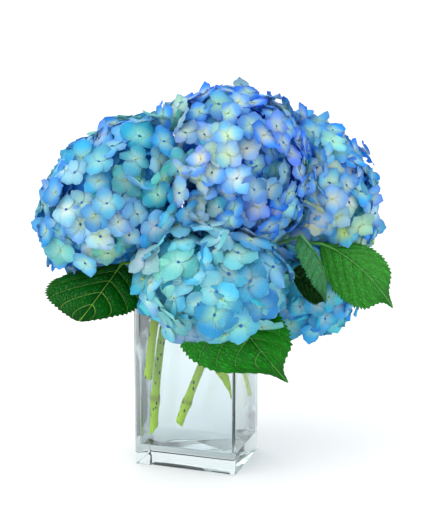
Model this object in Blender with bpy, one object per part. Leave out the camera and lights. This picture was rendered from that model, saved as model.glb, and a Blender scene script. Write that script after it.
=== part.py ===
"""Hydrangeas in a square glass vase: vase, water, five cut stems with their flower heads, and leaves.

Metres, +Z up. The vase stands on z = 0 with its wide front face towards -Y.
Each flower head is a soft dome of florets held on the forked top of its own stem.
"""
import math

import bmesh
import bpy
import numpy as np
from mathutils import Vector

MM = 0.001

# vase: a clear glass block vase with a thick floor
VASE_WIDTH = 102 * MM
VASE_DEPTH = 75 * MM
VASE_HEIGHT = 178 * MM
VASE_WALL = 4.5 * MM
VASE_FLOOR = 20 * MM
VASE_EDGE = 1.6 * MM
WATER_LEVEL = 150 * MM
CLEARANCE = 0.35 * MM

# flower heads: centre, half sizes across / front to back / up, how far each leans, where its stem
# comes in from, and the half angle of its flat underside
HEADS = {
    "left": dict(centre=(-63, -35, 257), size=(91, 79, 67), lean=45, stem_side=(50, 24, -80), flat=40),
    "top": dict(centre=(35, 3, 288), size=(72, 74, 78), lean=10, stem_side=(-30, -14, -100), flat=38),
    "right": dict(centre=(96, 78, 257), size=(61, 62, 80), lean=25, stem_side=(-58, -50, -66), flat=28),
    "front": dict(centre=(28, -56, 187), size=(87, 58, 56), lean=0, stem_side=(-20, 60, -56), flat=77),
    "back": dict(centre=(87, 94, 153), size=(50, 48, 48), lean=0, stem_side=(-66, -60, 36), flat=48),
}
STALK_DEPTH = 13 * MM
HEAD_GAP = 1.4 * MM
FLORET_RELIEF = 4.5 * MM

# stems: points from the cut end in the water up to the fork, and how far up each leaf node is
STEMS = {
    "left": dict(node=0.16, cut=(-1, 0.3, -0.9), path=(
        (39, 21, 60), (18, 14, 98), (-6, 7, 138), (-29, 0, 178), (-42, -12, 212), (-54, -22, 238))),
    "top": dict(node=0.17, cut=(1, 0, -0.8), path=(
        (-39.6, -5, 22), (-36.5, -8, 66), (-28, -12, 126), (-15, -9, 178), (5, -3, 222), (26, 8, 266))),
    "right": dict(node=0.15, cut=(-0.9, 0, -0.9), path=(
        (-11, -20, 38), (1, -18, 71), (16, -13, 112), (37, 5, 176), (62, 34, 214), (84, 64, 242))),
    "front": dict(node=0.4, cut=(-0.4, 0, -1), path=(
        (-40.6, -23, 80), (-34, -21, 134), (-25, -19, 172), (-13, -21, 192), (6, -30, 202), (24, -42, 201))),
    "back": dict(node=0.3, cut=(0.5, 0, -1), path=(
        (27, 22, 106), (29, 22, 140), (33, 25, 176), (44, 39, 197), (62, 59, 190), (79, 80, 170))),
}
STEM_RADIUS = 4.2 * MM
FORK_RADIUS = 3.2 * MM
NODE_SWELL = 1.2 * MM
STALK_RADIUS = 1.7 * MM
STALKS = 6
STALK_SPREAD = math.radians(52)

# leaves: where the stalk starts, blade base, middle and tip of the midrib, and the two blade edges
LEAVES = {
    "left": dict(start=(-38, -16, 197), base=(-61, -38, 198), middle=(-70, -64, 178), tip=(-78, -100, 156),
                 one=(-122, -82, 178), other=(-34, -58, 161)),
    "front": dict(start=(16, -14, 186), base=(30, -43, 181), middle=(66, -50, 142), tip=(111, -74, 109),
                  one=(8, -46, 112), other=(104, -52, 158)),
    "right": dict(start=(78, 36, 212), base=(112, 36, 214), middle=(150, 36, 194), tip=(183, 34, 157),
                  one=(168, 62, 200), other=(141, 27, 157)),
    "folded": dict(start=(76, 12, 216), base=(106, -14, 230), middle=(129, -22, 202), tip=(132, -25, 171),
                   one=(113, -40, 203), other=(122, -6, 204)),
    "inner": dict(start=(62, 12, 190), base=(92, 6, 190), middle=(112, 0, 180), tip=(128, -8, 168),
                  one=(110, 6, 196), other=(112, -4, 164)),
    "back_left": dict(start=(-32, 12, 198), base=(-56, 30, 204), middle=(-82, 52, 202), tip=(-112, 78, 186),
                      one=(-52, 82, 206), other=(-104, 22, 198)),
    "back_right": dict(start=(10, 34, 200), base=(12, 66, 212), middle=(18, 98, 206), tip=(24, 134, 184),
                       one=(-28, 98, 204), other=(58, 112, 198)),
}
LEAF_THICKNESS = 1.0 * MM
LEAF_STALK = 1.6 * MM
LEAF_STALK_RINGS = 3
LEAF_BLADE_RINGS = 9
LEAF_OFF_HEAD = 5.0 * MM
LEAF_DENT = math.radians(15)

COLOURS = {
    "glass": (0.86, 0.92, 0.93, 1), "water": (0.72, 0.84, 0.88, 1), "stem": (0.40, 0.55, 0.14, 1),
    "leaf": (0.07, 0.30, 0.06, 1), "left": (0.32, 0.60, 0.86, 1), "top": (0.30, 0.48, 0.88, 1),
    "right": (0.26, 0.50, 0.88, 1), "front": (0.38, 0.70, 0.86, 1), "back": (0.24, 0.56, 0.85, 1),
}


def clear_file():
    for thing in list(bpy.data.objects):
        bpy.data.objects.remove(thing, do_unlink=True)


def collection(name):
    made = bpy.data.collections.new(name)
    bpy.context.scene.collection.children.link(made)
    return made


def material(name, colour):
    made = bpy.data.materials.new(name)
    made.use_nodes = True
    made.node_tree.nodes["Principled BSDF"].inputs["Base Color"].default_value = colour
    made.diffuse_color = colour
    return made


def add_object(name, mesh, where, colour=None):
    """Links a mesh object of that name, in a material of its own when a colour is given."""
    made = bpy.data.objects.new(name, mesh)
    where.objects.link(made)
    if colour is None:
        made.hide_render = True
        made.display_type = "WIRE"
    else:
        mesh.materials.append(material(name, COLOURS[colour]))
    return made


def from_bmesh(name, bm):
    bmesh.ops.recalc_face_normals(bm, faces=bm.faces)
    mesh = bpy.data.meshes.new(name)
    bm.to_mesh(mesh)
    bm.free()
    return mesh


def box_mesh(name, low, high, edge, keep_top=False):
    """A box between two corners, its edges rounded by the given radius, or all but those round its top."""
    bm = bmesh.new()
    bmesh.ops.create_cube(bm, size=1.0)
    low, high = Vector(low), Vector(high)
    for vert in bm.verts:
        vert.co = Vector([low[i] + (vert.co[i] + 0.5) * (high[i] - low[i]) for i in range(3)])
    edges = [e for e in bm.edges if not keep_top or min(v.co.z for v in e.verts) < high.z - MM]
    bmesh.ops.bevel(bm, geom=edges, offset=edge, segments=2, profile=0.5, affect="EDGES")
    return from_bmesh(name, bm)


def boolean(target, cutter, operation):
    step = target.modifiers.new(cutter.name[:50], "BOOLEAN")
    step.operation = operation
    step.solver = "EXACT"
    step.object = cutter


def smooth_path(points, per_span=3):
    """Points along a Catmull-Rom curve through the given points, ends included."""
    pts = np.array(points, float) * MM
    padded = np.vstack([2 * pts[0] - pts[1], pts, 2 * pts[-1] - pts[-2]])
    out = []
    for i in range(len(pts) - 1):
        a, b, c, d = padded[i:i + 4]
        for t in np.linspace(0, 1, per_span, endpoint=False):
            out.append(0.5 * (2 * b + (c - a) * t + (2 * a - 5 * b + 4 * c - d) * t ** 2
                              + (3 * b - a - 3 * c + d) * t ** 3))
    out.append(pts[-1])
    return np.array(out)


def tube_mesh(name, path, radii, sides=8):
    """A round bar along the path, closed at both ends."""
    curve = bpy.data.curves.new(name + "_path", "CURVE")
    curve.dimensions = "3D"
    curve.bevel_depth = 1.0
    curve.bevel_resolution = sides // 2 - 2
    curve.use_fill_caps = True
    curve.twist_mode = "MINIMUM"
    spline = curve.splines.new("POLY")
    spline.points.add(len(path) - 1)
    for point, co, radius in zip(spline.points, path, radii):
        point.co = (*co, 1.0)
        point.radius = radius
    holder = bpy.data.objects.new(name + "_path", curve)
    bpy.context.scene.collection.objects.link(holder)
    graph = bpy.context.evaluated_depsgraph_get()
    mesh = bpy.data.meshes.new_from_object(holder.evaluated_get(graph))
    bpy.data.objects.remove(holder, do_unlink=True)
    bm = bmesh.new()
    bm.from_mesh(mesh)
    bmesh.ops.remove_doubles(bm, verts=bm.verts, dist=1e-6)
    bpy.data.meshes.remove(mesh)
    return from_bmesh(name, bm)


def leaf_blade(key):
    """Rings of five points across a leaf, from its stalk to its tip, and the direction it runs in at each."""
    spec = {part: np.array(co, float) * MM for part, co in LEAVES[key].items()}
    bend = 2 * spec["middle"] - 0.5 * (spec["base"] + spec["tip"])
    t = np.linspace(0, 1, LEAF_STALK_RINGS, endpoint=False)[:, None]
    stalk = spec["start"] + (spec["base"] - spec["start"]) * t
    t = np.linspace(0, 1, LEAF_BLADE_RINGS)[:, None]
    midrib = (1 - t) ** 2 * spec["base"] + 2 * t * (1 - t) * bend + t ** 2 * spec["tip"]
    centres = np.concatenate([stalk, midrib])
    width = np.concatenate([np.zeros(LEAF_STALK_RINGS), np.sin(np.pi * t[:, 0] ** 0.8).clip(0) ** 0.75])
    sides = np.array([spec["one"] - spec["middle"]] * 2 + [np.ones(3)] + [spec["other"] - spec["middle"]] * 2)
    full = np.linalg.norm(sides, axis=1)
    share = np.abs(np.array([-1.0, -0.5, 0.0, 0.5, 1.0]))
    span = share * np.maximum(width[:, None] * full, LEAF_STALK)
    run = np.gradient(centres, axis=0)
    return (centres[:, None] + span[:, :, None] * (sides / full[:, None]),
            run / np.linalg.norm(run, axis=1, keepdims=True))


def head_frame(key):
    """A head's centre, the matrix that turns a direction into shares of its half sizes, and its stem side."""
    spec = HEADS[key]
    lean = math.radians(spec["lean"])
    axes = np.array([(math.cos(lean), 0, math.sin(lean)), (0, 1, 0), (-math.sin(lean), 0, math.cos(lean))])
    toward_stem = np.array(spec["stem_side"], float)
    return (np.array(spec["centre"], float) * MM, axes.T / (np.array(spec["size"], float) * MM),
            toward_stem / np.linalg.norm(toward_stem))


def reach(key, way):
    """Distance from a head's centre to its outside along unit vectors, pressed flat where heads meet."""
    centre, shares, toward_stem = head_frame(key)
    far = 1.0 / np.linalg.norm(way @ shares, axis=-1)
    for other in HEADS:
        if other == key:
            continue
        there, other_shares, _ = head_frame(other)
        between = there - centre
        apart = np.linalg.norm(between)
        between = between / apart
        mine = 1.0 / np.linalg.norm(between @ shares)
        theirs = 1.0 / np.linalg.norm(between @ other_shares)
        flat = (apart ** 2 + mine ** 2 - theirs ** 2) / (2 * apart) - HEAD_GAP / 2
        lean = way @ between
        far = np.where(lean > 1e-6, np.minimum(far, flat / np.maximum(lean, 1e-6)), far)
    under = math.cos(math.radians(HEADS[key]["flat"])) / np.linalg.norm(toward_stem @ shares)
    lean = way @ toward_stem
    far = np.where(lean > 1e-6, np.minimum(far, under / np.maximum(lean, 1e-6)), far)
    blades = np.array([leaf_blade(leaf)[0] for leaf in LEAVES])
    between = [blades[:, :-1] * (1 - part) + blades[:, 1:] * part for part in (0.0, 0.25, 0.5, 0.75)]
    spots = np.concatenate(between).reshape(-1, 3) - centre
    length = np.linalg.norm(spots, axis=1)
    near = way @ (spots / length[:, None]).T > math.cos(LEAF_DENT)
    pressed = np.where(near, length - LEAF_OFF_HEAD, 9.0).min(axis=1)
    return np.minimum(np.minimum(far, pressed), clear_of_vase(centre, way))


def clear_of_vase(centre, way):
    """Distance along unit vectors to a box a little larger than the vase; very far where it is missed."""
    margin = 4 * MM
    low = np.array([-VASE_WIDTH / 2 - margin, -VASE_DEPTH / 2 - margin, -margin])
    high = np.array([VASE_WIDTH / 2 + margin, VASE_DEPTH / 2 + margin, VASE_HEIGHT + margin])
    step = np.where(np.abs(way) < 1e-9, 1e-9, way)
    one, two = (low - centre) / step, (high - centre) / step
    near = np.max(np.minimum(one, two), axis=-1)
    leave = np.min(np.maximum(one, two), axis=-1)
    return np.where((near < leave) & (leave > 0), np.maximum(near, 0.002), 9.0)


def head_mesh(key):
    """A soft dome of florets: a ball pressed against its neighbours, flat below, studded all over."""
    centre = head_frame(key)[0]
    bm = bmesh.new()
    bmesh.ops.create_icosphere(bm, subdivisions=3, radius=1.0)
    way = np.array([v.co.normalized() for v in bm.verts])
    for vert, direction, distance in zip(bm.verts, way, reach(key, way)):
        vert.co = centre + direction * distance
    bmesh.ops.poke(bm, faces=bm.faces[:], offset=-FLORET_RELIEF, center_mode="MEAN")
    return from_bmesh("head_" + key, bm)


def stalk_ways(key):
    """Directions of the stalks that fork from the stem top, fanned around the way into the head."""
    _, _, toward_stem = head_frame(key)
    inward = Vector(-toward_stem)
    side = inward.orthogonal().normalized()
    ways = []
    for i in range(STALKS):
        around = 2 * math.pi * i / STALKS
        out = (side * math.cos(around) + inward.cross(side) * math.sin(around)) * math.sin(STALK_SPREAD)
        ways.append((inward * math.cos(STALK_SPREAD) + out).normalized())
    return ways


def inside_distance(key, start, way):
    """How far a stalk can run from the fork and stay well inside the dome."""
    centre, _, _ = head_frame(key)
    for distance in np.arange(0.005, 0.12, 0.001):
        spot = np.array(start) + np.array(way) * distance - centre
        length = np.linalg.norm(spot)
        far = float(reach(key, spot[None] / length)[0])
        if length > 2 * MM and length > far - STALK_DEPTH:
            return distance - 0.001
    return 0.04


def make_stem(key, head, water, parts, cutters):
    """One cut stem: a tapering bar with a swollen node, a slanting cut end and a forked top.

    The same shapes, a little fatter, are cut out of the flower head and the water round it.
    """
    spec = STEMS[key]
    path = smooth_path(spec["path"])
    along = np.linspace(0, 1, len(path))
    radii = STEM_RADIUS + (FORK_RADIUS - STEM_RADIUS) * along
    radii = radii + NODE_SWELL * np.exp(-((along - spec["node"]) / 0.04) ** 2)
    bm = bmesh.new()
    bm.from_mesh(tube_mesh("stem_" + key, path, radii))
    slant = Vector(spec["cut"]).normalized()
    spot = Vector(path[0]) + Vector(path[1] - path[0]).normalized() * STEM_RADIUS
    cut = bmesh.ops.bisect_plane(bm, geom=bm.verts[:] + bm.edges[:] + bm.faces[:], plane_co=spot,
                                 plane_no=slant, clear_outer=True)
    bmesh.ops.contextual_create(bm, geom=[e for e in cut["geom_cut"] if isinstance(e, bmesh.types.BMEdge)])
    bmesh.ops.triangulate(bm, faces=[f for f in bm.faces if len(f.verts) > 4])
    stem = add_object("stem_" + key, from_bmesh("stem_" + key, bm), parts, "stem")

    fork = path[-1]
    last = (path[-1] - path[-2]) / np.linalg.norm(path[-1] - path[-2])
    hole = np.vstack([path[:1] - (path[1] - path[0]) * 0.06, path[:-1], path[-1:] + last * CLEARANCE])
    hole = tube_mesh("cut_hole_" + key, hole, np.concatenate([radii[:1], radii]) + CLEARANCE)
    hole = add_object("cut_hole_" + key, hole, cutters)
    boolean(water, hole, "DIFFERENCE")
    boolean(head, hole, "DIFFERENCE")
    for number, way in enumerate(stalk_ways(key)):
        way = np.array(way)
        length = inside_distance(key, fork, way)
        thin = np.array([STALK_RADIUS, STALK_RADIUS, 0.8 * STALK_RADIUS])
        for name, extra, target, operation in (("cut_stalk", 0.0, stem, "UNION"),
                                               ("cut_socket", CLEARANCE, head, "DIFFERENCE")):
            name = f"{name}_{key}_{number}"
            line = fork + way * np.array([[-0.001], [0.5 * length], [length + extra]])
            boolean(target, add_object(name, tube_mesh(name, line, thin + extra, 6), cutters), operation)


def leaf_mesh(key):
    """A leaf as one loft: a round stalk that flattens into a broad pointed blade."""
    blade, run = leaf_blade(key)
    normal = np.cross(run, blade[:, -1] - blade[:, 0])
    normal /= np.linalg.norm(normal, axis=1, keepdims=True)
    thick = np.full(len(blade), LEAF_THICKNESS)
    thick[:LEAF_STALK_RINGS] = 2 * LEAF_STALK
    upper = blade + (normal * thick[:, None] / 2)[:, None]
    lower = blade - (normal * thick[:, None] / 2)[:, None]
    rings = np.concatenate([upper, lower[:, ::-1]], axis=1)
    bm = bmesh.new()
    verts = [[bm.verts.new(co) for co in ring] for ring in rings]
    count = rings.shape[1]
    for i in range(len(verts) - 1):
        for j in range(count):
            k = (j + 1) % count
            bm.faces.new((verts[i][j], verts[i][k], verts[i + 1][k], verts[i + 1][j]))
    bm.faces.new(verts[0])
    bm.faces.new(verts[-1])
    bmesh.ops.triangulate(bm, faces=bm.faces)
    return from_bmesh("leaf_" + key, bm)


clear_file()
parts = collection("hydrangeas_in_vase")
cutters = collection("cutters")

half_x, half_y = VASE_WIDTH / 2, VASE_DEPTH / 2
vase = add_object("vase", box_mesh("vase", (-half_x, -half_y, 0), (half_x, half_y, VASE_HEIGHT), VASE_EDGE),
                  parts, "glass")
hollow = box_mesh("cut_hollow", (-half_x + VASE_WALL, -half_y + VASE_WALL, VASE_FLOOR),
                  (half_x - VASE_WALL, half_y - VASE_WALL, VASE_HEIGHT + 10 * MM), VASE_EDGE)
boolean(vase, add_object("cut_hollow", hollow, cutters), "DIFFERENCE")

inset = VASE_WALL + CLEARANCE
water = add_object("water", box_mesh("water", (-half_x + inset, -half_y + inset, VASE_FLOOR + CLEARANCE),
                                     (half_x - inset, half_y - inset, WATER_LEVEL), VASE_EDGE, True),
                   parts, "water")

for key in HEADS:
    head = add_object("head_" + key, head_mesh(key), parts, key)
    make_stem(key, head, water, parts, cutters)
for key in LEAVES:
    add_object("leaf_" + key, leaf_mesh(key), parts, "leaf")
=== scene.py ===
"""Hydrangeas in a square glass vase: the room, the vase, the water, the stems, the flower heads
and the leaves.

Everything is in metres with +Z up. The vase stands on z = 0, its wide front face towards -Y.
"""

import math

import bpy
import numpy as np
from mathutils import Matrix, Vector
from mathutils.bvhtree import BVHTree


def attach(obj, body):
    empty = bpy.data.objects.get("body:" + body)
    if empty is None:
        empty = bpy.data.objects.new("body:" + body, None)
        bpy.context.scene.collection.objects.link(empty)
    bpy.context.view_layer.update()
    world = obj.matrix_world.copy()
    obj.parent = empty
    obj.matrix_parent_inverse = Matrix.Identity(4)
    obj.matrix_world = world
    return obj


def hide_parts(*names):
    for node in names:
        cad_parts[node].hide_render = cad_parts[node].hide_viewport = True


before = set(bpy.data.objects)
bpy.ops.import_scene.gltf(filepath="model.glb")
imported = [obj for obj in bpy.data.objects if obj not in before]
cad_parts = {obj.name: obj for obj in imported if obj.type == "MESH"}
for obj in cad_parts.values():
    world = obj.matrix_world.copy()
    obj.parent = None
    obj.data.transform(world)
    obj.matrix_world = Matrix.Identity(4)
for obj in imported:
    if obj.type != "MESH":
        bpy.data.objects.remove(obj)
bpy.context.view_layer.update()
MM = 0.001


# ---------------------------------------------------------------------------------------------
# The room: a pale seamless floor in an evenly lit white studio, with one large soft lamp high
# on the left, so that the only shadow is a faint one to the right of the vase.
# ---------------------------------------------------------------------------------------------

FLOOR_HALF_WIDTH = 6.0
FLOOR_COLOUR = (0.86, 0.863, 0.866, 1)
FLOOR_DROP = 0.15 * MM
FLOOR_MOTTLE = 0.992
LAMP_PLACE = (-1.3, -1.5, 1.9)
LAMP_AIM = (0, 0, 0.2)
LAMP_SIZE = 2.0
LAMP_WATTS = 26.0
SKY_SIDES = (1.0, 1.0, 1.0, 1)
SKY_TOP = (0.94, 0.955, 0.97, 1)
SKY_TOP_FROM = 0.55
SKY_STRENGTH = 1.42
CAMERA_PLACE = (0.38079, -1.09746, 0.44688)
CAMERA_TURN = (math.radians(78.0), 0.0, math.radians(18.398))
CAMERA_LENS = 87.3


class Paint:
    """A node material in the making. A value given to a method is a plain number or colour, or the
    output socket of another node; place is the object's own coordinates."""

    def __init__(self, name):
        self.material = bpy.data.materials.new(name)
        self.material.use_nodes = True
        self.tree = self.material.node_tree
        self.tree.nodes.clear()
        self.output = self.tree.nodes.new("ShaderNodeOutputMaterial")
        self.place = self.node("TexCoord").outputs["Object"]

    def put(self, value, target):
        """Joins a socket to the target, or writes a plain value into it."""
        if isinstance(value, bpy.types.NodeSocket):
            self.tree.links.new(value, target)
        else:
            target.default_value = value

    def node(self, kind, *values, **settings):
        """A node: properties are set by name, sockets by label, its first sockets in turn."""
        added = self.tree.nodes.new("ShaderNode" + kind)
        for label, value in settings.items():
            if hasattr(added, label):
                setattr(added, label, value)
            else:
                self.put(value, added.inputs[label.replace("_", " ")])
        for number, value in enumerate(values):
            self.put(value, added.inputs[number])
        return added

    def surface(self):
        """The object's UV map and its two parts, u and v."""
        uv = self.node("UVMap").outputs["UV"]
        parts = self.node("SeparateXYZ", uv)
        return uv, parts.outputs["X"], parts.outputs["Y"]

    def noise(self, scale, detail, **more):
        """Cloudy noise of this scale over the object."""
        settings = {"Vector": self.place, "Scale": scale, "Detail": detail, **more}
        return self.node("TexNoise", **settings).outputs["Fac"]

    def calc(self, operation, *values):
        """The result of one sum on one or two values."""
        return self.node("Math", *values, operation=operation).outputs[0]

    def ramp(self, value, low, high, at_low, at_high):
        """Runs from at_low to at_high while the value runs from low to high."""
        return self.node("MapRange", value, low, high, at_low, at_high).outputs[0]

    def blend(self, share, first, second, kind="MIX"):
        """The colour this share of the way from the first to the second."""
        added = self.node("Mix", data_type="RGBA", blend_type=kind)
        for number, value in ((0, share), (6, first), (7, second)):
            self.put(value, added.inputs[number])
        return added.outputs[2]

    def show(self, shader):
        self.put(shader.outputs[0], self.output.inputs["Surface"])

    def show_thin(self, shader, share, colour):
        """Shows the shader with this share of it replaced by light from behind, in the colour."""
        through = self.node("BsdfTranslucent", Color=colour)
        self.show(self.node("MixShader", share, shader.outputs[0], through.outputs[0]))

    def show_clear(self, shader, colour):
        """Shows a clear shader but lets the light that makes shadows straight past it, tinted, so
        that what stands in or under the glass is lit."""
        past = self.node("BsdfTransparent", Color=colour)
        shadow = self.node("LightPath").outputs["Is Shadow Ray"]
        self.show(self.node("MixShader", shadow, shader.outputs[0], past.outputs[0]))


def mesh_object(name, points, faces, material, smooth=True):
    """An object at the origin whose mesh has these points and faces, all in one material."""
    mesh = bpy.data.meshes.new(name)
    mesh.from_pydata(np.asarray(points, float).tolist(), [], [tuple(face) for face in faces])
    mesh.polygons.foreach_set("use_smooth", np.full(len(mesh.polygons), smooth))
    mesh.materials.append(material)
    mesh.update()
    made = bpy.data.objects.new(name, mesh)
    bpy.context.scene.collection.objects.link(made)
    return made


matt = Paint("matt_floor")
darker = tuple(FLOOR_MOTTLE * part for part in FLOOR_COLOUR[:3]) + (1,)
mottled = matt.blend(matt.ramp(matt.noise(3.0, 2.0), 0.3, 0.7, 0.0, 1.0), FLOOR_COLOUR, darker)
matt.show(matt.node("BsdfPrincipled", Base_Color=mottled, Roughness=0.9, Specular_IOR_Level=0.1))
w = FLOOR_HALF_WIDTH
corners = [(x, y, -FLOOR_DROP) for x, y in ((-w, -w), (w, -w), (w, w), (-w, w))]
floor = mesh_object("floor", corners, [(0, 1, 2, 3)], matt.material)

world = bpy.data.worlds.new("white_studio")
bpy.context.scene.world = world
world.use_nodes = True
sky_nodes, sky_links = world.node_tree.nodes, world.node_tree.links
sky_coords = sky_nodes.new("ShaderNodeTexCoord")
sky_height = sky_nodes.new("ShaderNodeSeparateXYZ")
sky_share = sky_nodes.new("ShaderNodeMapRange")
sky_share.interpolation_type = "SMOOTHSTEP"
sky_share.inputs["From Min"].default_value = SKY_TOP_FROM
sky_share.inputs["From Max"].default_value = 1.0
sky_mix = sky_nodes.new("ShaderNodeMix")
sky_mix.data_type = "RGBA"
sky_mix.inputs[6].default_value = SKY_SIDES
sky_mix.inputs[7].default_value = SKY_TOP
sky_links.new(sky_coords.outputs["Generated"], sky_height.inputs[0])
sky_links.new(sky_height.outputs["Z"], sky_share.inputs["Value"])
sky_links.new(sky_share.outputs["Result"], sky_mix.inputs[0])
sky_links.new(sky_mix.outputs[2], sky_nodes["Background"].inputs["Color"])
sky_nodes["Background"].inputs["Strength"].default_value = SKY_STRENGTH

lamp_data = bpy.data.lights.new("soft_lamp", "AREA")
lamp_data.shape = "DISK"
lamp_data.size = LAMP_SIZE
lamp_data.energy = LAMP_WATTS
lamp = bpy.data.objects.new("soft_lamp", lamp_data)
lamp.location = LAMP_PLACE
lamp.rotation_euler = (Vector(LAMP_AIM) - lamp.location).to_track_quat("-Z", "Y").to_euler()
bpy.context.scene.collection.objects.link(lamp)

camera_data = bpy.data.cameras.new("camera")
camera_data.lens = CAMERA_LENS
camera_data.clip_start = 0.05
camera = bpy.data.objects.new("camera", camera_data)
camera.location = CAMERA_PLACE
camera.rotation_euler = CAMERA_TURN
bpy.context.scene.collection.objects.link(camera)
bpy.context.scene.camera = camera
bpy.context.scene.view_settings.view_transform = "Standard"


# ---------------------------------------------------------------------------------------------
# The vase: a pressed clear glass block, tall and rectangular, with straight walls, softened
# edges and a thick solid floor. It is moulded in one piece and fire polished.
# ---------------------------------------------------------------------------------------------

VASE_WIDTH = 102 * MM
VASE_DEPTH = 75 * MM
VASE_HEIGHT = 178 * MM
VASE_WALL = 4.5 * MM
VASE_FLOOR = 20 * MM
EDGE_RADIUS = 1.6 * MM
CORNER_RADIUS = 2.4 * MM
INNER_CORNER = 3.0 * MM
LEAST_CORNER = 0.6 * MM
CORNER_STEPS = 7
LOOP_POINTS = 4 * CORNER_STEPS
FOOT_RING = 5 * MM
FOOT_HOLLOW = 0.8 * MM
GLASS_TINT = (0.87, 0.915, 0.925, 1)
GLASS_SHADOW = (0.80, 0.84, 0.85, 1)
GLASS_ABSORBS = (0.70, 0.745, 0.745, 1)
ABSORBS_PER_METRE = 17.0

half_x, half_y = VASE_WIDTH / 2, VASE_DEPTH / 2


def rounded_loop(across, deep, radius):
    """Points round a rectangle of these half sizes whose corners are quarter circles: each corner's
    centre plus the radius times (cos, sin) of the angle, corner after corner, counter-clockwise."""
    arc = np.linspace(0, math.pi / 2, CORNER_STEPS)[None, :]
    turn = arc + np.arange(4)[:, None] * math.pi / 2
    sign_x = np.array([1, -1, -1, 1])[:, None]
    sign_y = np.array([1, 1, -1, -1])[:, None]
    x = sign_x * (across - radius) + radius * np.cos(turn)
    y = sign_y * (deep - radius) + radius * np.sin(turn)
    return np.stack([x.ravel(), y.ravel()], axis=1)


def grid_faces(rows, columns, closed):
    """Quads on a grid of points numbered row by row; closed joins the last column to the first."""
    i, j = np.meshgrid(np.arange(rows - 1), np.arange(columns - (not closed)), indexing="ij")
    k = (j + 1) % columns
    corners = [i * columns + j, i * columns + k, (i + 1) * columns + k, (i + 1) * columns + j]
    return np.stack(corners, axis=-1).reshape(-1, 4)


def lofted_block(name, profile, material):
    """A closed block whose section is a rounded rectangle: the loop of each profile entry
    (height, half width, half depth, corner radius) stacked in turn, with both ends capped flat."""
    points = np.concatenate([np.column_stack([rounded_loop(*sizes), np.full(LOOP_POINTS, z)])
                             for z, *sizes in profile])
    faces = grid_faces(len(profile), LOOP_POINTS, True).tolist()
    faces.append(list(range(LOOP_POINTS - 1, -1, -1)))
    faces.append(list(range(len(points) - LOOP_POINTS, len(points))))
    return mesh_object(name, points, faces, material)


def rolled_edge(z, up):
    """A quarter-round edge: four (height, inset) pairs from the flat to the wall, the inset
    shrinking as 1 - sin of the angle while the height moves by 1 - cos of it."""
    return [(z + up * EDGE_RADIUS * (1 - math.cos(a)), EDGE_RADIUS * (1 - math.sin(a)))
            for a in np.linspace(0, math.pi / 2, 4)]


def inner_sections(pairs, wall):
    """Profile entries for (height, inset) pairs inside the vase; a corner's radius shrinks by half
    of what the inset is past the wall."""
    return [(z, half_x - d, half_y - d, max(INNER_CORNER - 0.5 * max(d - wall, 0), MM))
            for z, d in pairs]


outer = [(FOOT_HOLLOW, FOOT_RING + 3 * MM), (0.15 * MM, FOOT_RING), *rolled_edge(0.0, 1),
         (VASE_HEIGHT / 2, 0.0), *reversed(rolled_edge(VASE_HEIGHT, -1))]
inner = [(VASE_HEIGHT, VASE_WALL - 0.8 * MM), (VASE_HEIGHT - EDGE_RADIUS * 0.5, VASE_WALL),
         (VASE_HEIGHT * 0.6, VASE_WALL), (VASE_FLOOR + 1.5 * MM, VASE_WALL),
         (VASE_FLOOR + 0.4 * MM, VASE_WALL + 0.5 * MM), (VASE_FLOOR, VASE_WALL + 1.6 * MM)]
profile = [(z, half_x - d, half_y - d, max(CORNER_RADIUS - d, LEAST_CORNER)) for z, d in outer]
profile += inner_sections(inner, VASE_WALL)

glass = Paint("clear_glass")
drawn_up = glass.node("Mapping", Vector=glass.place, Scale=(1.0, 1.0, 0.35)).outputs[0]
ripple = glass.node("Bump", Strength=0.12, Distance=0.004,
                    Height=glass.noise(26.0, 1.0, Roughness=0.4, Vector=drawn_up))
haze = glass.ramp(glass.noise(9.0, 3.0), 0.45, 0.8, 0.0, 0.035)
clear = glass.node("BsdfPrincipled", Base_Color=GLASS_TINT, Roughness=haze, IOR=1.5,
                   Transmission_Weight=1.0, Normal=ripple.outputs[0])
glass.show_clear(clear, GLASS_SHADOW)
body = glass.node("VolumeAbsorption", Color=GLASS_ABSORBS, Density=ABSORBS_PER_METRE)
glass.put(body.outputs[0], glass.output.inputs["Volume"])

vase = lofted_block("vase_glass", profile, glass.material)
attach(vase, "root")
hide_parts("vase")


# ---------------------------------------------------------------------------------------------
# The water: clear tap water filling the vase to a little under its rim, clinging to the glass
# with a low meniscus. It overlaps the glass by a hair so that no air shows between them.
# ---------------------------------------------------------------------------------------------

WATER_LEVEL = 150 * MM
WATER_INTO_GLASS = 0.12 * MM
MENISCUS = 1.2 * MM
WATER_TINT = (0.87, 0.915, 0.93, 1)
WATER_SHADOW = (0.90, 0.94, 0.95, 1)

into = VASE_WALL - WATER_INTO_GLASS
filled = [(VASE_FLOOR - WATER_INTO_GLASS, into + 1.4 * MM),
          (VASE_FLOOR + 0.4 * MM, into + 0.3 * MM), (VASE_FLOOR + 1.4 * MM, into),
          (WATER_LEVEL * 0.6, into), (WATER_LEVEL, into),
          (WATER_LEVEL + MENISCUS, into), (WATER_LEVEL + MENISCUS * 0.35, into + 0.7 * MM),
          (WATER_LEVEL + MENISCUS * 0.08, into + 1.9 * MM), (WATER_LEVEL, into + 3.6 * MM)]

still = Paint("still_water")
stir = still.node("Bump", Strength=0.05, Distance=0.002, Height=still.noise(18.0, 1.0))
wet = still.node("BsdfPrincipled", Base_Color=WATER_TINT, Roughness=0.0, IOR=1.333,
                 Transmission_Weight=1.0, Normal=stir.outputs[0])
still.show_clear(wet, WATER_SHADOW)

water = lofted_block("water_fill", inner_sections(filled, into), still.material)
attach(water, "root")
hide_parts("water")


# ---------------------------------------------------------------------------------------------
# The stems: five round woody-green stems, cut on a slant under water, each with one swollen
# leaf node and a fork of short stalks inside its flower head. They simply lean in the vase.
# ---------------------------------------------------------------------------------------------

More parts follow.
